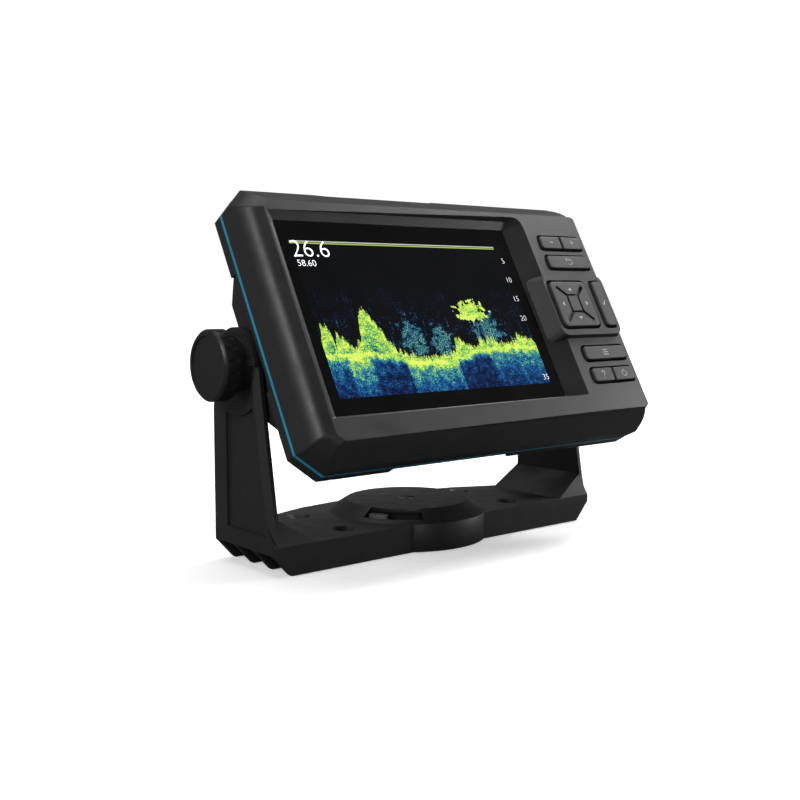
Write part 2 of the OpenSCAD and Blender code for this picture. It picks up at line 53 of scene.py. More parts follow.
RIGHT = Vector((1, 0, 0))
OUT = -Vector(JOINTS["key_back_press"]["axis"]).normalized()
UP = OUT.cross(RIGHT)
PIVOT = Vector(JOINTS["tilt"]["pos_m"])
FACE_HEIGHT = 76.3 * MM     # of the display frame's zero above the resting surface
FACE = Vector((0, PIVOT.y, FACE_HEIGHT))
DISPLAY = Matrix.Translation(FACE) @ Matrix((RIGHT, UP, OUT)).transposed().to_4x4()


def local_box(node):
    """A CAD node's lowest and highest corner in millimetres, in the display's frame."""
    back = DISPLAY.inverted()
    points = [(back @ v.co) / MM for v in NODES[node].data.vertices]
    return (Vector([min(p[i] for p in points) for i in range(3)]),
            Vector([max(p[i] for p in points) for i in range(3)]))


# ---------------------------------------------------------------- mesh helpers

def rounded(points, radii, steps=4):
    """A closed polygon with each corner rounded; one radius for all corners, or one each."""
    n = len(points)
    if not hasattr(radii, "__len__"):
        radii = [radii] * n
    out = []
    for i, p in enumerate(points):
        p = Vector(p)
        a, b = Vector(points[i - 1]) - p, Vector(points[(i + 1) % n]) - p
        half = a.angle(b) / 2
        reach = min(radii[i] / math.tan(half), 0.48 * a.length, 0.48 * b.length)
        radius = reach * math.tan(half)
        centre = p + (a.normalized() + b.normalized()).normalized() * radius / math.sin(half)
        start, end = p + a.normalized() * reach - centre, p + b.normalized() * reach - centre
        turn = start.angle_signed(end)
        for k in range(steps + 1):
            angle = -turn * k / steps
            c, s = math.cos(angle), math.sin(angle)
            out.append(centre + Vector((start.x * c - start.y * s, start.x * s + start.y * c)))
    return out


def rect(x0, x1, y0, y1):
    return [(x0, y0), (x1, y0), (x1, y1), (x0, y1)]


def cut_rect(x0, x1, y0, y1, c, d=None):
    """A rectangle with its corners cut by c, or by d at the right."""
    d = c if d is None else d
    return [(x0 + c, y0), (x1 - d, y0), (x1, y0 + d), (x1, y1 - d),
            (x1 - d, y1), (x0 + c, y1), (x0, y1 - c), (x0, y0 + c)]


def loft(*rings):
    """A closed solid through rings of equal length, each a (height, points) pair."""
    bm = bmesh.new()
    rows = [[bm.verts.new((p[0], p[1], z)) for p in points] for z, points in rings]
    n = len(rows[0])
    for low, high in zip(rows, rows[1:]):
        for i in range(n):
            j = (i + 1) % n
            bm.faces.new((low[i], low[j], high[j], high[i]))
    bm.faces.new(list(reversed(rows[0])))
    bm.faces.new(rows[-1])
    return bm


def prism(points, z0, z1):
    return loft((z0, points), (z1, points))


def merged(*parts):
    """Several closed solids in one mesh."""
    whole = bmesh.new()
    for bm in parts:
        mesh = bpy.data.meshes.new("part")
        bm.to_mesh(mesh)
        whole.from_mesh(mesh)
        bm.free()
        bpy.data.meshes.remove(mesh)
    return whole


def carve(base, steps):
    """Joins ('+') and cuts ('-') solids in turn, and gives the clean result."""
    def temporary(bm):
        mesh = bpy.data.meshes.new("solid")
        bm.to_mesh(mesh)
        bm.free()
        obj = bpy.data.objects.new("solid", mesh)
        bpy.context.scene.collection.objects.link(obj)
        return obj

    whole = temporary(base)
    tools = []
    for sign, bm in steps:
        tool = temporary(bm)
        tools.append(tool)
        mod = whole.modifiers.new("step", "BOOLEAN")
        mod.operation = "UNION" if sign == "+" else "DIFFERENCE"
        mod.solver = "EXACT"
        mod.object = tool
    dg = bpy.context.evaluated_depsgraph_get()
    result = bmesh.new()
    result.from_mesh(bpy.data.meshes.new_from_object(whole.evaluated_get(dg)))
    for obj in [whole] + tools:
        bpy.data.objects.remove(obj)
    bmesh.ops.remove_doubles(result, verts=result.verts, dist=0.002)
    bmesh.ops.dissolve_limit(result, angle_limit=math.radians(0.6), verts=result.verts,
                             edges=result.edges)
    return result


def piece(name, bm, body, material, replaces=(), bevel=0.0, segments=3, angle=28.0):
    """Makes a visible piece from a mesh drawn in the display's frame, in millimetres."""
    bm.transform(DISPLAY @ Matrix.Scale(MM, 4))
    mesh = bpy.data.meshes.new(name)
    bm.to_mesh(mesh)
    bm.free()
    obj = bpy.data.objects.new(name, mesh)
    bpy.context.scene.collection.objects.link(obj)
    mesh.materials.append(material)
    finish_edges(obj, bevel, segments, angle)
    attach(obj, body)
    if replaces:
        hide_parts(*replaces)
    return obj


def finish_edges(obj, bevel, segments=3, angle=28.0):
    """Rounds the sharp edges by `bevel` millimetres and smooths the shading."""
    for polygon in obj.data.polygons:
        polygon.use_smooth = True
    if bevel:
        mod = obj.modifiers.new("edges", "BEVEL")
        mod.width = bevel * MM
        mod.segments = segments
        mod.limit_method = "ANGLE"
        mod.angle_limit = math.radians(angle)
        mod.use_clamp_overlap = True
        mod.harden_normals = False
    normals = obj.modifiers.new("normals", "WEIGHTED_NORMAL")
    normals.keep_sharp = True
    normals.weight = 90


def finish_cad(node, material, bevel=0.0, segments=2, angle=30.0):
    """Gives a CAD node its finish, and rounds its edges without touching its mesh."""
    obj = NODES[node]
    obj.data.materials.clear()
    obj.data.materials.append(material)
    weld = obj.modifiers.new("weld", "WELD")
    weld.merge_threshold = 2e-6
    if bevel:
        planar = obj.modifiers.new("flat", "DECIMATE")
        planar.decimate_type = "DISSOLVE"
        planar.angle_limit = math.radians(1.0)
        mod = obj.modifiers.new("edges", "BEVEL")
        mod.width = bevel * MM
        mod.segments = segments
        mod.limit_method = "ANGLE"
        mod.angle_limit = math.radians(angle)
    return obj


# ------------------------------------------------------------------- materials

class Graph:
    """A node material that is built line by line."""

    def __init__(self, name, **shader):
        self.material = bpy.data.materials.new(name)
        self.material.use_nodes = True
        self.tree = self.material.node_tree
        self.shader = self.tree.nodes["Principled BSDF"]
        for socket, value in shader.items():
            self.shader.inputs[socket.replace("_", " ")].default_value = value
        self.place = self.add("ShaderNodeTexCoord").outputs["Object"]

    def add(self, kind, **settings):
        node = self.tree.nodes.new(kind)
        for key, value in settings.items():
            setattr(node, key, value)
        return node

    def feed(self, socket, value):
        if isinstance(value, bpy.types.NodeSocket):
            self.tree.links.new(value, socket)
        elif value is not None:
            socket.default_value = value

    def math(self, operation, a, b=None):
        node = self.add("ShaderNodeMath", operation=operation)
        for socket, value in zip(node.inputs, (a, b)):
            self.feed(socket, value)
        return node.outputs[0]

    def noise(self, scale, detail=2.0, rough=0.5, vector=None, distortion=0.0):
        node = self.add("ShaderNodeTexNoise")
        self.feed(node.inputs["Vector"], vector or self.place)
        node.inputs["Scale"].default_value = scale
        node.inputs["Detail"].default_value = detail
        node.inputs["Roughness"].default_value = rough
        node.inputs["Distortion"].default_value = distortion
        return node.outputs["Fac"]

    def ramp(self, factor, *stops):
        node = self.add("ShaderNodeValToRGB")
        self.feed(node.inputs[0], factor)
        elements = node.color_ramp.elements
        while len(elements) < len(stops):
            elements.new(0.5)
        for element, (at, color) in zip(elements, stops):
            element.position = at
            element.color = (*color, 1)
        return node.outputs[0]

    def span(self, value, low, high, to_low=0.0, to_high=1.0):
        node = self.add("ShaderNodeMapRange")
        for socket, v in zip(node.inputs, (value, low, high, to_low, to_high)):
            self.feed(socket, v)
        return node.outputs[0]

    def vector(self, x, y, z=0.0):
        node = self.add("ShaderNodeCombineXYZ")
        for socket, v in zip(node.inputs, (x, y, z)):
            self.feed(socket, v)
        return node.outputs[0]

    def mix(self, factor, a, b):
        node = self.add("ShaderNodeMix", data_type="RGBA")
        self.feed(node.inputs["Factor"], factor)
        self.feed(node.inputs[6], a)
        self.feed(node.inputs[7], b)
        return node.outputs[2]

    def bump(self, height, strength, distance):
        node = self.add("ShaderNodeBump")
        node.inputs["Strength"].default_value = strength
        node.inputs["Distance"].default_value = distance
        self.feed(node.inputs["Height"], height)
        self.feed(self.shader.inputs["Normal"], node.outputs[0])


def shade(color, factor):
    return tuple(c * factor for c in color)


def plastic(name, color, roughness, grain=0.35, relief=0.25, specular=0.35, dust=0.10):
    """Moulded plastic: an etched grain in millimetres, with faint flow marks and dust."""
    g = Graph(name, Specular_IOR_Level=specular)
    flow = g.noise(45, 3, 0.55, distortion=0.4)
    speck = g.noise(1000 / grain * 0.7, 2, 0.6)
    tone = g.math("ADD", g.math("MULTIPLY", flow, 0.65), g.math("MULTIPLY", speck, 0.35))
    base = g.ramp(tone, (0.36, shade(color, 1 - dust)), (0.64, shade(color, 1 + 1.6 * dust)))
    g.feed(g.shader.inputs["Base Color"], base)
    g.feed(g.shader.inputs["Roughness"],
           g.span(g.noise(130, 3, 0.6), 0.3, 0.7, roughness - 0.05, roughness + 0.07))
    g.bump(g.noise(1000 / grain, 3, 0.65), relief, 0.00006)
    return g.material


def metal(name, color, roughness, brushed=(900, 900, 60), relief=0.12):
    """Turned or rolled metal with a fine directional brushing."""
    g = Graph(name, Metallic=1.0)
    scaled = g.add("ShaderNodeMapping")
    g.feed(scaled.inputs["Vector"], g.place)
    scaled.inputs["Scale"].default_value = brushed
    line = g.noise(1.0, 4, 0.7, vector=scaled.outputs[0])
    g.feed(g.shader.inputs["Base Color"],
           g.ramp(line, (0.3, shade(color, 0.85)), (0.7, shade(color, 1.05))))
    g.feed(g.shader.inputs["Roughness"], g.span(line, 0.3, 0.7, roughness - 0.06, roughness + 0.08))
    g.bump(line, relief, 0.00004)
    return g.material


def circuit_board(name):
    g = Graph(name, Roughness=0.42)
    cells = g.add("ShaderNodeTexVoronoi", feature="DISTANCE_TO_EDGE")
    g.feed(cells.inputs["Vector"], g.place)
    cells.inputs["Scale"].default_value = 420
    track = g.math("LESS_THAN", cells.outputs[0], 0.045)
    green = g.ramp(g.noise(90, 3), (0.35, (0.008, 0.075, 0.028)), (0.65, (0.012, 0.11, 0.042)))
    g.feed(g.shader.inputs["Base Color"], g.mix(track, green, (0.045, 0.21, 0.09, 1)))
    g.bump(track, 0.3, 0.00004)
    return g.material


CHARCOAL = (0.017, 0.0173, 0.018)
black_plastic = plastic("black_plastic", CHARCOAL, 0.42)
rear_plastic = plastic("rear_plastic", (0.016, 0.0165, 0.0175), 0.5, grain=0.45, relief=0.32)
bail_plastic = plastic("bail_plastic", (0.014, 0.0145, 0.0155), 0.46, grain=0.5, relief=0.34)
knob_plastic = plastic("knob_plastic", (0.013, 0.0132, 0.014), 0.36, grain=0.4)
blue_trim = plastic("blue_trim", (0.022, 0.25, 0.4), 0.34, grain=0.25, relief=0.12, specular=0.5)
rubber_seal = plastic("rubber_seal", (0.012, 0.012, 0.012), 0.72, grain=0.3, relief=0.4)
key_plastic = plastic("key_plastic", (0.029, 0.0295, 0.031), 0.5, grain=0.3, relief=0.3)
latch_plastic = plastic("latch_plastic", (0.15, 0.153, 0.158), 0.45)
socket_plastic = plastic("socket_plastic", (0.011, 0.011, 0.012), 0.5)
light_guide = plastic("light_guide", (0.75, 0.78, 0.8), 0.3, dust=0.03)
ceramic = plastic("ceramic", (0.45, 0.26, 0.09), 0.55, dust=0.06)
steel = metal("steel", (0.56, 0.57, 0.58), 0.3)
sheet_metal = metal("sheet_metal", (0.6, 0.61, 0.62), 0.38, brushed=(60, 900, 900))
aluminium = metal("aluminium", (0.72, 0.73, 0.74), 0.34, brushed=(900, 60, 900))
brass = metal("brass", (0.72, 0.5, 0.2), 0.3)
dark_steel = metal("dark_steel", (0.16, 0.165, 0.17), 0.36)
board_green = circuit_board("board_green")


def print_ink(name, color, glow=0.0):
    """Light printed marks, slightly uneven like pad printing."""
    g = Graph(name, Roughness=0.5)
    tone = g.noise(1800, 2)
    ink = g.ramp(tone, (0.3, shade(color, 0.88)), (0.7, color))
    g.feed(g.shader.inputs["Base Color"], ink)
    if glow:
        g.feed(g.shader.inputs["Emission Color"], ink)
        g.shader.inputs["Emission Strength"].default_value = glow
    return g.material


key_ink = print_ink("key_ink", (0.42, 0.42, 0.43))
screen_ink = print_ink("screen_ink", (0.95, 0.96, 0.97), glow=0.9)
scale_ink = print_ink("scale_ink", (0.8, 0.82, 0.84), glow=0.5)


def screen_glass(picture):
    """Black-bordered cover glass over a sonar picture: picture is (left, right, bottom, top) in mm."""
    left, right, bottom, top = picture
    g = Graph("screen_glass", Roughness=0.06, Specular_IOR_Level=0.3)
    split = g.add("ShaderNodeSeparateXYZ")
    g.feed(split.inputs[0], g.place)
    s = g.span(split.outputs[0], left * MM, right * MM)
    upward = g.add("ShaderNodeVectorMath", operation="DOT_PRODUCT")
    g.feed(upward.inputs[0], g.place)
    upward.inputs[1].default_value = UP
    rest = UP.dot(FACE)
    t = g.span(upward.outputs["Value"], rest + bottom * MM, rest + top * MM)
    lit = g.math("MULTIPLY",
                 g.math("LESS_THAN", g.math("ABSOLUTE", g.math("SUBTRACT", s, 0.5)), 0.4995),
                 g.math("LESS_THAN", g.math("ABSOLUTE", g.math("SUBTRACT", t, 0.5)), 0.4995))

    def outline(points):
        node = g.add("ShaderNodeFloatCurve")
        g.feed(node.inputs["Value"], s)
        curve = node.mapping.curves[0]
        curve.points[0].location = points[0]
        curve.points[1].location = points[-1]
        for p in points[1:-1]:
            curve.points.new(*p)
        for p in curve.points:
            p.handle_type = "VECTOR"
        node.mapping.update()
        return node.outputs[0]

    # Across the picture: height of the sea bed, of what stands on it, and strength of the bed's echo
    bed = outline([(0, 0.27), (0.1, 0.265), (0.2, 0.27), (0.3, 0.235), (0.38, 0.2), (0.5, 0.19),
                   (0.6, 0.22), (0.7, 0.255), (0.8, 0.27), (0.9, 0.27), (1, 0.26)])
    stand = outline([(0, 0.34), (0.02, 0.46), (0.045, 0.42), (0.055, 0.3), (0.07, 0.39),
                     (0.1, 0.37), (0.13, 0.3), (0.165, 0.34), (0.185, 0.49), (0.215, 0.55),
                     (0.245, 0.47), (0.305, 0.28), (0.36, 0.24), (0.43, 0.22), (0.5, 0.23),
                     (0.58, 0.25), (0.59, 0.34), (0.64, 0.3), (0.69, 0.27), (0.72, 0.34),
                     (0.74, 0.3), (0.76, 0.34), (0.8, 0.3), (0.87, 0.29), (0.92, 0.34), (1, 0.3)])
    gain = outline([(0, 0.6), (0.08, 0.5), (0.09, 0.85), (0.17, 0.8), (0.2, 0.4), (0.33, 0.28),
                    (0.335, 0.74), (0.45, 0.64), (0.57, 0.7), (0.575, 0.3), (0.73, 0.26),
                    (0.74, 0.56), (1, 0.64)])

    def texture(across, along, detail, rough):
        """Noise with so many cells across the picture and up it."""
        cell = g.vector(g.math("MULTIPLY", s, across), g.math("MULTIPLY", t, along))
        return g.noise(1.0, detail, rough, vector=cell)

    grain = texture(230, 110, 2, 0.7)
    tall = texture(95, 7, 3, 0.7)
    cloud = texture(15, 9, 4, 0.6)
    blot = texture(40, 24, 3, 0.6)
    speck = g.math("SUBTRACT", grain, 0.5)
    patch = g.math("SUBTRACT", blot, 0.5)
    ragged = g.math("ADD", g.math("MULTIPLY", g.math("SUBTRACT", tall, 0.5), 0.3),
                    g.math("MULTIPLY", speck, 0.08))

    def total(*terms):
        value = terms[0]
        for term in terms[1:]:
            value = g.math("ADD", value, term)
        return value

    # Under the bed's bright upper edge the echo fades in columns of unequal strength
    depth = g.math("SUBTRACT", g.math("ADD", bed, g.math("MULTIPLY", ragged, 0.25)), t)
    fade = g.span(depth, 0.02, 0.25, 1.0, 0.4)
    ground = g.ramp(total(g.math("MULTIPLY", fade, g.span(depth, 0.0, 0.06, 1.0, gain)),
                          g.math("MULTIPLY", speck, 1.5), patch, -0.05),
                    (0.08, (0.001, 0.004, 0.02)), (0.28, (0.003, 0.03, 0.14)),
                    (0.46, (0.008, 0.12, 0.34)), (0.6, (0.03, 0.3, 0.2)),
                    (0.72, (0.3, 0.66, 0.05)), (0.9, (0.74, 0.9, 0.14)))
    # Weed and a shoal: dense where they stand, with thinner clouds and a sparse haze round them
    inside = g.math("SUBTRACT", g.math("ADD", stand, g.math("MULTIPLY", ragged, 0.6)), t)

    def cluster(s0, t0, half_s, half_t, rough):
        """How far inside a ragged oval a point of the picture is."""
        across = g.math("POWER", g.math("DIVIDE", g.math("SUBTRACT", s, s0), half_s), 2.0)
        along = g.math("POWER", g.math("DIVIDE", g.math("SUBTRACT", t, t0), half_t), 2.0)
        return total(1.0, g.math("MULTIPLY", g.math("ADD", across, along), -1.0),
                     g.math("MULTIPLY", ragged, 3.0), g.math("MULTIPLY", patch, rough))

    shoal = cluster(0.722, 0.52, 0.072, 0.07, 5.0)
    dense = g.math("MAXIMUM", g.span(inside, -0.004, 0.012), g.span(shoal, 0.0, 0.1))
    dim = g.math("MAXIMUM", g.span(cluster(0.4, 0.33, 0.06, 0.15, 6.0), 0.0, 0.9),
                 g.math("MAXIMUM", g.span(cluster(0.53, 0.31, 0.05, 0.13, 6.0), 0.0, 0.7),
                        g.span(cluster(0.77, 0.39, 0.08, 0.13, 7.0), 0.0, 0.9)))
    plant = g.ramp(total(g.span(inside, 0.0, 0.25, 0.84, 0.56), g.math("MULTIPLY", speck, 1.9),
                         g.math("MULTIPLY", patch, 1.3)),
                   (0.2, (0.002, 0.012, 0.05)), (0.42, (0.01, 0.12, 0.24)),
                   (0.6, (0.07, 0.38, 0.1)), (0.78, (0.34, 0.66, 0.05)), (1.0, (0.8, 0.93, 0.16)))
    haze = g.math("MULTIPLY", g.span(cloud, 0.45, 0.6), g.span(t, 0.7, 0.4))
    stray = total(g.math("MULTIPLY", g.span(grain, 0.6, 0.8), g.math("ADD", haze, 0.07)),
                  g.math("MULTIPLY", g.math("MULTIPLY", g.span(tall, 0.6, 0.68), haze), 0.5),
                  g.math("MULTIPLY", g.math("MULTIPLY", g.span(grain, 0.42, 0.62), dim), 0.8))
    water = g.ramp(stray, (0.0, (0.0007, 0.0009, 0.0014)), (0.12, (0.003, 0.02, 0.07)),
                   (0.4, (0.02, 0.16, 0.3)), (0.8, (0.2, 0.5, 0.2)))
    scene = g.mix(g.span(depth, -0.004, 0.004), g.mix(dense, water, plant), ground)

    def band(low, high, reach):
        """One between two heights, from the left edge across to `reach`."""
        between = g.math("MULTIPLY", g.math("GREATER_THAN", t, low), g.math("LESS_THAN", t, high))
        return g.math("MULTIPLY", between, g.math("LESS_THAN", s, reach))

    for low, high, color in ((0.985, 0.991, (0.6, 0.64, 0.6, 1)), (0.972, 0.98, (0.36, 0.5, 0.1, 1))):
        scene = g.mix(band(low, high, 0.97), scene, color)
    g.feed(g.shader.inputs["Base Color"],
           g.ramp(g.noise(70, 2), (0.3, (0.0045, 0.0045, 0.005)), (0.7, (0.006, 0.006, 0.0065))))
    g.feed(g.shader.inputs["Emission Color"], g.mix(lit, (0, 0, 0, 1), scene))
    g.shader.inputs["Emission Strength"].default_value = 1.12
    return g.material


# ----------------------------------------------------------------- front bezel

bezel_low, bezel_high = local_box("front_bezel")
glass_low, glass_high = local_box("cover_glass")
glass_w = glass_high.z
ring_w = 42.0       # height of the band round the window at its left edge
panel_w = 44.6      # height of the keypad panel
pad_w = bezel_high.z

SIDES = [  # height, left, right, bottom, top, left and right corner cuts
    (bezel_low.z, bezel_low.x, bezel_high.x, -55.1, 59.4, 9.0, 9.0),
    (31.0, -90.0, 90.0, -54.6, 59.4, 8.0, 4.0),
    (36.5, -88.7, 88.5, -51.9, 54.8, 6.0, 2.2),
    (40.6, -86.0, 86.4, -49.4, 50.6, 4.4, 1.8),
    (ring_w, -82.2, 85.2, -48.2, 48.6, 3.0, 1.5),
    (panel_w, -78.0, 84.0, -48.0, 47.0, 3.0, 1.2)]
CLIP = (-48.5, -43.0, 13.0)     # ends of the slope into the rim's clip recess, and its far end
CLIP_DEPTH = 1.5
WINDOW = (-79.2, 39.1, -38.5, 40.8)     # opening at the glass: left, right, bottom, top
PANEL_LEFT = 47.5       # where the band above the window has risen to the keypad panel
BEYOND = 120.0          # clear of the housing on every side


def grown(box, d):
    """A (low, high) pair as x0, x1, y0, y1, grown by d on each side."""
    low, high = box
    return low.x - d, high.x + d, low.y - d, high.y + d


def around(*nodes):
    """One box round several CAD nodes, in the display's frame."""
    boxes = [local_box(n) for n in nodes]
    return (Vector([min(b[0][i] for b in boxes) for i in range(3)]),
            Vector([max(b[1][i] for b in boxes) for i in range(3)]))


FOOT = 0.4      # how far a key's foot reaches past the key's own opening
CLEAR = 0.6     # rounded edge round each opening
OPENINGS = [(grown(around("key_minus", "key_plus"), CLEAR - FOOT), 2.1),
            (grown(around("key_back"), CLEAR - FOOT), 2.1),
            (grown(around("key_menu"), CLEAR - FOOT), 2.1),
            (grown(around("key_info", "key_power"), CLEAR - FOOT), 2.1),
            (grown(around("key_mark"), CLEAR - FOOT), 1.9),
            (grown(around("dpad"), 0.45 + CLEAR), 3.0)]


def along_v(points, v0, v1):
    """A prism along v from points given as (u, w)."""
    bm = prism(points, v0, v1)
    bm.transform(Matrix(((1, 0, 0, 0), (0, 0, 1, 0), (0, 1, 0, 0), (0, 0, 0, 1))))
    bmesh.ops.recalc_face_normals(bm, faces=bm.faces)
    return bm


def softened(rows):
    """Rows with the corners between them cut once, as a smooth curve starts and ends."""
    out = [rows[0]]
    for a, b in zip(rows, rows[1:]):
        out += [tuple(p + (q - p) * f for p, q in zip(a, b)) for f in (0.25, 0.75)]
    return out + [rows[-1]]


def bezel_shape():
    sides = SIDES[:1] + softened(softened(SIDES[1:5])) + SIDES[5:]
    outer = loft(*[(side[0], rounded(cut_rect(*side[1:]), 1.6, 3)) for side in sides])
    ring_left = SIDES[4][1]
    rise = (panel_w - ring_w) / (PANEL_LEFT - ring_left)
    above = along_v([(-BEYOND, ring_w - (BEYOND + ring_left) * rise), (PANEL_LEFT, panel_w + 0.02),
                     (PANEL_LEFT, BEYOND), (-BEYOND, BEYOND)], -BEYOND, BEYOND)
    # The window opens out from the glass to the band round it and on to the panel's slope
    hole = [(bezel_low.z - 1, WINDOW, 0.5), (glass_w - 0.02, WINDOW, 0.5),
            (ring_w, (-81.4, 42.4, -39.7, 44.3), 2.2),
            (panel_w, (-82.0, 48.6, -40.2, 45.3), 5.0),
            (60.0, (-82.0, 85.2, -40.2, 45.3), 5.0)]
    window = loft(*[(w, rounded(rect(*box), [0.5, 0.5, r, 0.5], 5)) for w, box, r in hole])
    # The raised pad round the four-way key
    pad = loft((glass_w - 1, rounded(rect(39.2, 84.6, -15.5, 16.9), 3.0, 4)),
               (pad_w, rounded(rect(45.2, 83.0, -13.6, 15.2), 3.6, 4)))
    inside = loft((bezel_low.z - 1, rounded(cut_rect(-86, 86, -50.2, 54.4, 6), 1, 3)),
                  (glass_w - 4.4, rounded(cut_rect(-84.4, 84.4, -45.8, 48.4, 3), 1, 3)))
    top = SIDES[0][4]
    clip = prism([(CLIP[0], top), (CLIP[1], top - CLIP_DEPTH), (CLIP[2], top - CLIP_DEPTH),
                  (CLIP[2], top + 2), (CLIP[0], top + 2)], bezel_low.z - 1, 38)
    keys = [("-", prism(rounded(rect(*box), r, 4), 30, 60)) for box, r in OPENINGS]
    return carve(outer, [("-", above), ("-", window), ("+", pad), ("-", inside), ("-", clip)] + keys)


piece("bezel_shell", bezel_shape(), "display", black_plastic, replaces=["front_bezel"],
      bevel=0.55, segments=3, angle=16)


# ------------------------------------------------------------------------ keys

def ribbon(points, width, z0, z1, closed=False):
    """A flat strip of one width along a line of points."""
    pts = [Vector(p) for p in points]
    n = len(pts)
    sides = []
    for i, p in enumerate(pts):
        before = pts[i - 1] if closed or i else None
        after = pts[(i + 1) % n] if closed or i < n - 1 else None
        d0 = (p - before).normalized() if before is not None else (after - p).normalized()
        d1 = (after - p).normalized() if after is not None else d0
        normal = Vector((-(d0 + d1).y, (d0 + d1).x)).normalized()
        reach = width / 2 / max(0.4, normal.dot(Vector((-d1.y, d1.x))))
        sides.append((p + normal * reach, p - normal * reach))
    bm = bmesh.new()
    rows = [[bm.verts.new((q.x, q.y, z)) for q, z in ((a, z0), (b, z0), (b, z1), (a, z1))]
            for a, b in sides]
    for i in range(n if closed else n - 1):
        low, high = rows[i], rows[(i + 1) % n]
        for k in range(4):
            m = (k + 1) % 4
            bm.faces.new((low[k], low[m], high[m], high[k]))
    if not closed:
        bm.faces.new(list(reversed(rows[0])))
        bm.faces.new(rows[-1])
    bmesh.ops.recalc_face_normals(bm, faces=bm.faces)
    return bm


def arc(r, start, end, steps=14):
    return [(r * math.cos(math.radians(start + (end - start) * k / steps)),
             r * math.sin(math.radians(start + (end - start) * k / steps)))
            for k in range(steps + 1)]


def shifted(points, x, y):
    return [(p[0] + x, p[1] + y) for p in points]


LINE = 0.34     # width of a printed line
ICONS = {  # each key's printed mark, as lines about the key's middle
    "key_minus": [[(-1.2, 0), (1.2, 0)]],
    "key_plus": [[(-1.2, 0), (1.2, 0)], [(0, -1.2), (0, 1.2)]],
    "key_back": [[(-1.7, 1.0), (1.2, 1.0), (1.9, 0.3), (1.9, -0.5), (1.2, -1.2), (-1.5, -1.2)],
                 [(-0.9, 1.8), (-1.8, 1.0), (-0.9, 0.2)]],
    "key_menu": [[(-1.6, 1.1), (1.6, 1.1)], [(-1.6, 0), (1.6, 0)], [(-1.6, -1.1), (1.6, -1.1)]],
    "key_info": [shifted(arc(0.85, 170, -60, 10), 0, 0.75) + [(0, -0.75)],
                 [(0, -1.25), (0, -1.65)]],
    "key_power": [arc(1.35, 125, 415, 18), [(0, 0.5), (0, 1.8)]],
    "key_mark": [[(-1.0, 0.1), (-0.25, -0.9), (1.1, 1.3)]],
}
PRINT = 0.04    # thickness of the printed marks


def key_cap(node):
    """A key with a soft top edge, standing on the foot that holds it in its opening."""
    low, high = local_box(node)
    x0, x1, y0, y1 = grown((low, high), -FOOT - 0.35)
    if node in ("key_minus", "key_info"):
        x1 = high.x
    if node in ("key_plus", "key_power"):
        x0 = low.x
    left_round = 1.3 if node not in ("key_plus", "key_power") else 0.35
    right_round = 1.3 if node not in ("key_minus", "key_info") else 0.35
    corner = [left_round, right_round, right_round, left_round]
    rims = [(low.z + 1.2, 0.0), (high.z - 0.55, 0.05), (high.z - 0.2, 0.16), (high.z, 0.5)]
    cap = loft(*[(z, rounded(rect(x0 + d, x1 - d, y0 + d, y1 - d), corner, 4)) for z, d in rims])
    foot = prism(rounded(rect(low.x, high.x, low.y, high.y), 0.8, 3), low.z, low.z + 1.2)
    middle = Vector(((x0 + x1) / 2, (y0 + y1) / 2))
    marks = [ribbon(shifted(line, *middle), LINE, high.z - 0.05, high.z + PRINT)
             for line in ICONS[node]]
    piece(node + "_cap", merged(cap, foot), node, key_plastic, replaces=[node],
          angle=50)
    piece(node + "_icon", merged(*marks), node, key_ink)


for node in ICONS:
    key_cap(node)


def dpad_cap():
    """The four-way key: a rounded square with grooves round its middle and out to its corners."""
    low, high = local_box("dpad")
    x0, x1, y0, y1 = grown((low, high), 0)
    cx, cy = (x0 + x1) / 2, (y0 + y1) / 2
    rims = [(low.z, 0.0), (high.z - 0.7, 0.05), (high.z - 0.25, 0.2), (high.z, 0.65)]
    cap = loft(*[(z, rounded(rect(x0 + d, x1 - d, y0 + d, y1 - d), 2.4, 5)) for z, d in rims])
    core_x, core_y, end_x, end_y = 3.4, 4.0, 8.2, 8.2
    grooves = []
    for sx in (-1, 1):
        for sy in (-1, 1):
            line = [(cx + sx * core_x * 0.96, cy + sy * core_y * 0.96),
                    (cx + sx * end_x, cy + sy * end_y)]
            grooves.append(("-", ribbon(line, 1.7, high.z - 1.1, high.z + 1)))
    core = [(cx - core_x, cy - core_y), (cx + core_x, cy - core_y),
            (cx + core_x, cy + core_y), (cx - core_x, cy + core_y)]
    grooves.append(("-", ribbon(core, 1.15, high.z - 1.101, high.z + 1, closed=True)))
    shape = carve(cap, grooves)
    piece("dpad_cap", shape, "dpad", key_plastic, replaces=["dpad"],
          bevel=0.12, segments=2, angle=35)
    arrows = []
    for x, y, turn in ((0, 6.9, 0), (0, -6.9, 180), (-7.4, 0, 90), (7.4, 0, -90)):
        arrow = loft(*[(z, [(-1.15, -0.55), (1.15, -0.55), (0, 0.75)])
                       for z in (high.z - 0.05, high.z + PRINT)])
        arrow.transform(Matrix.Translation((cx + x, cy + y, 0))
                        @ Matrix.Rotation(math.radians(turn), 4, "Z"))
        arrows.append(arrow)
    piece("dpad_icons", merged(*arrows), "dpad", key_ink)


dpad_cap()

# ------------------------------------------------------------------ CAD nodes

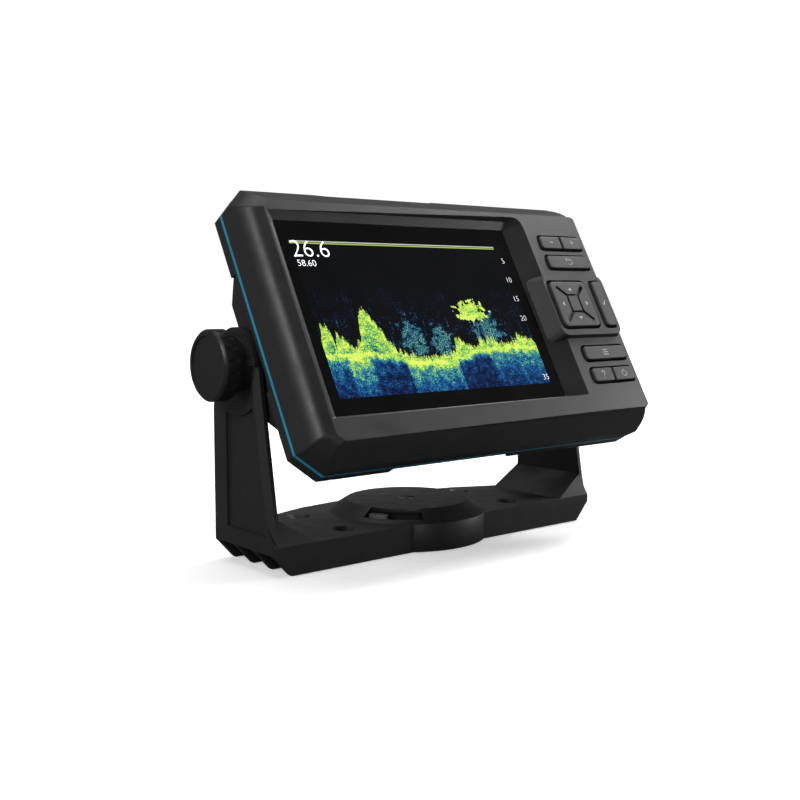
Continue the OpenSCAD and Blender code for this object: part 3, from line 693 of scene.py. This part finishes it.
PLAIN = {
    "swivel_base": (bail_plastic, 0.4), "swivel_screw": (dark_steel, 0.15),
    "swivel_washer": (steel, 0), "bail_bracket": (bail_plastic, 0.45),
    "arm_washers": (rubber_seal, 0.2), "swivel_latch": (latch_plastic, 0.3),
    "trim_stripe": (blue_trim, 0), "case_gasket": (rubber_seal, 0),
    "glass_adhesive": (rubber_seal, 0), "lcd_panel": (rear_plastic, 0),
    "lcd_frame": (sheet_metal, 0), "backlight_plate": (light_guide, 0),
    "heat_spreader": (aluminium, 0), "main_board": (board_green, 0),
    "board_screws": (steel, 0), "shield_can": (sheet_metal, 0), "gps_antenna": (ceramic, 0),
    "beeper": (socket_plastic, 0), "keypad_board": (board_green, 0),
    "keypad_mat": (rubber_seal, 0), "rear_housing": (rear_plastic, 0.5),
    "pivot_inserts": (brass, 0), "power_socket": (socket_plastic, 0.3),
    "transducer_socket": (socket_plastic, 0.3), "vent_plug": (rubber_seal, 0.3),
    "case_screws": (steel, 0), "dpad_web": (rubber_seal, 0), "knob_left": (knob_plastic, 0.25),
    "stud_left": (steel, 0), "thrust_washer_left": (dark_steel, 0),
    "knob_right": (knob_plastic, 0.25), "stud_right": (steel, 0),
    "thrust_washer_right": (dark_steel, 0),
}
for node, (material, bevel) in PLAIN.items():
    finish_cad(node, material, bevel)

PICTURE_SIZE = (108.0, 64.8)
panel_low, panel_high = local_box("lcd_panel")
middle = (panel_low + panel_high) / 2
PICTURE = (middle.x - PICTURE_SIZE[0] / 2, middle.x + PICTURE_SIZE[0] / 2,
           middle.y - PICTURE_SIZE[1] / 2, middle.y + PICTURE_SIZE[1] / 2)
pane = rounded(rect(glass_low.x, glass_high.x, glass_low.y, glass_high.y), 0.4, 2)
piece("screen_pane", prism(pane, glass_low.z, glass_high.z), "display", screen_glass(PICTURE),
      replaces=["cover_glass"], bevel=0.12)

CAPITAL = 0.72      # height of the font's figures as a share of its size
THINNER = 0.016     # how much the figures' strokes are drawn in, as a share of the size


def numerals(name, text, x, y, height, ink=screen_ink, align="LEFT"):
    """Generic figures that the screen shows, at x and y from the picture's top left corner."""
    curve = bpy.data.curves.new(name, "FONT")
    curve.body = text
    curve.size = height / CAPITAL
    curve.align_x = align
    curve.extrude = 0.01
    curve.offset = -THINNER * curve.size
    curve.resolution_u = 4
    source = bpy.data.objects.new(name, curve)
    bpy.context.scene.collection.objects.link(source)
    dg = bpy.context.evaluated_depsgraph_get()
    bm = bmesh.new()
    bm.from_mesh(bpy.data.meshes.new_from_object(source.evaluated_get(dg)))
    bpy.data.objects.remove(source)
    bm.transform(Matrix.Translation((PICTURE[0] + x, PICTURE[3] - y - height, glass_w + 0.02)))
    piece(name, bm, "display", ink)


numerals("depth_reading", "26.6", -0.3, 0.0, 7.4)
numerals("temperature_reading", "58.60", 0.6, 8.6, 2.8)
for depth, drop in ((5, 6.0), (10, 15.2), (15, 24.2), (20, 33.4), (35, 60.6)):
    numerals(f"scale_{depth}", str(depth), PICTURE_SIZE[0] + 0.4, drop, 2.6, scale_ink, "RIGHT")

# ------------------------------------------------------------- stage and light

def floor_white():
    """White paper with painted light and shade. To the camera it glows, faintly near the object and
    fully from 0.8 m out, so it is darker round the object as well as in its soft shadow. To other rays
    it is dark grey, painted shade that keeps bounce light off the object.
    """
    g = Graph("floor_white", Roughness=0.9, Specular_IOR_Level=0.0)
    seen = g.add("ShaderNodeLightPath").outputs["Is Camera Ray"]
    paper = g.ramp(g.noise(3, 2), (0.3, (0.93, 0.93, 0.93)), (0.7, (0.95, 0.95, 0.95)))
    # Painted shade: dark grey to every ray but the camera's, so the floor lights the object's
    # underside only a little
    g.feed(g.shader.inputs["Base Color"], g.mix(seen, (0.12, 0.12, 0.12, 1), paper))
    away = g.add("ShaderNodeVectorMath", operation="LENGTH")
    g.feed(away.inputs[0], g.place)
    # Painted light: a glow that only the camera sees, weaker near the object, which paints a darker
    # patch round it
    g.feed(g.shader.inputs["Emission Color"], paper)
    g.feed(g.shader.inputs["Emission Strength"],
           g.math("MULTIPLY", g.span(away.outputs["Value"], 0.2, 0.8, 0.37, 1.0), seen))
    return g.material


floor_mesh = bpy.data.meshes.new("floor")
floor_mesh.from_pydata([(-6, -6, 0), (6, -6, 0), (6, 6, 0), (-6, 6, 0)], [], [(0, 1, 2, 3)])
floor_mesh.materials.append(floor_white())
floor = bpy.data.objects.new("floor", floor_mesh)
bpy.context.scene.collection.objects.link(floor)

HORIZON = 0.26      # brightness that the studio's walls give the object
CEILING = 0.05      # and its ceiling
FRONT = 0.45        # share of that brightness that comes from in front
BACKDROP = 1.03     # brightness of the backdrop as the camera sees it


def studio_walls():
    """Dim walls round the object, with a white backdrop where the camera looks past it."""
    world = bpy.data.worlds.new("studio")
    bpy.context.scene.world = world
    world.use_nodes = True
    tree = world.node_tree

    def span(value, low, high, to_low, to_high):
        node = tree.nodes.new("ShaderNodeMapRange")
        tree.links.new(value, node.inputs["Value"])
        for socket, v in zip(node.inputs[1:5], (low, high, to_low, to_high)):
            if isinstance(v, bpy.types.NodeSocket):
                tree.links.new(v, socket)
            else:
                socket.default_value = v
        return node.outputs[0]

    direction = tree.nodes.new("ShaderNodeTexCoord").outputs["Generated"]
    split = tree.nodes.new("ShaderNodeSeparateXYZ")
    tree.links.new(direction, split.inputs[0])
    walls = tree.nodes.new("ShaderNodeMath")
    walls.operation = "MULTIPLY"
    tree.links.new(span(split.outputs[2], 0.0, 0.7, HORIZON, CEILING), walls.inputs[0])
    tree.links.new(span(split.outputs[1], -0.9, 0.1, FRONT, 1.0), walls.inputs[1])
    seen = tree.nodes.new("ShaderNodeLightPath").outputs["Is Camera Ray"]
    sky = tree.nodes["Background"]
    tree.links.new(span(seen, 0.0, 1.0, walls.outputs[0], BACKDROP), sky.inputs["Strength"])
    sky.inputs["Color"].default_value = (1, 1, 1, 1)


studio_walls()


def facing(obj, place, aim):
    """Puts a light or the camera at a place and turns it towards another."""
    bpy.context.scene.collection.objects.link(obj)
    obj.location = place
    obj.rotation_mode = "QUATERNION"
    obj.rotation_quaternion = (Vector(aim) - Vector(place)).to_track_quat("-Z", "Y")


def softbox(name, place, aim, width, height, watts):
    light = bpy.data.lights.new(name, "AREA")
    light.shape = "RECTANGLE"
    light.size, light.size_y = width, height
    light.energy = watts
    facing(bpy.data.objects.new(name, light), place, aim)


softbox("right", (1.5, -0.6, 0.45), (0, 0, 0.08), 0.5, 0.5, 14)
softbox("high", (1.3, -0.05, 1.3), (0, 0, 0.08), 0.5, 0.5, 19)
softbox("left", (-1.4, -0.25, 0.83), (0, 0, 0.08), 0.4, 0.7, 12)
softbox("overhead", (0.0, 0.35, 2.6), (0, 0.1, 0), 2.8, 2.6, 42)
softbox("front", (-0.7, -1.4, 0.25), (-0.05, 0, 0.06), 0.5, 0.4, 3.5)

# ---------------------------------------------------------------------- camera

camera_data = bpy.data.cameras.new("camera")
camera_data.sensor_width = 36
camera_data.lens = 50.1
camera = bpy.data.objects.new("camera", camera_data)
facing(camera, (-0.3067, -0.3647, 0.1062), (-0.0093, -0.0070, 0.0600))
bpy.context.scene.camera = camera
bpy.context.scene.view_settings.view_transform = "Standard"
